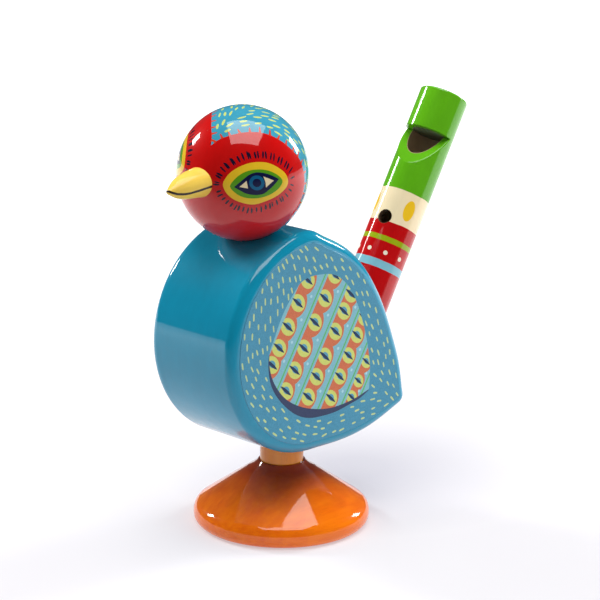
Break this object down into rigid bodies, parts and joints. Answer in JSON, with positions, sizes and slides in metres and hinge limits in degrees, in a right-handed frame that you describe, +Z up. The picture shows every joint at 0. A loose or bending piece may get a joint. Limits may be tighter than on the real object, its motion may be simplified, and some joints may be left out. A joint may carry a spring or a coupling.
{
  "type": "bird whistle ocarina",
  "caption": "Wooden bird-shaped vessel flute: round ball head with beak, hollow teardrop body, turned flared foot, and a slanted whistle tube tail with finger hole.",
  "frame": {"origin": "centre of the foot's flat bottom face", "axes": "+Z up out of the foot, -Y the way the beak points, +X the bird's left side"},
  "size_m": [0.0628, 0.1453, 0.1517],
  "materials": {
    "orange_lacquer": "glossy orange-red lacquer",
    "amber_lacquer": "glossy amber lacquer",
    "teal_lacquer": "glossy teal-blue lacquer",
    "printed_side": "printed pattern under satin lacquer",
    "red_lacquer": "glossy red lacquer with painted face",
    "yellow_lacquer": "glossy yellow lacquer",
    "green_lacquer": "glossy green, cream and red painted bands",
    "bare_wood": "unpainted wood"
  },
  "bodies": {
    "root": {"foot": "orange_lacquer", "leg": "amber_lacquer", "body_core": "teal_lacquer", "body_cheek_left": "teal_lacquer", "body_cheek_right": "teal_lacquer", "side_print_left": "printed_side", "side_print_right": "printed_side", "head": "red_lacquer", "neck_dowel": "bare_wood", "beak": "yellow_lacquer", "whistle_tube": "green_lacquer", "fipple_block": "bare_wood"}
  },
  "joints": []
}
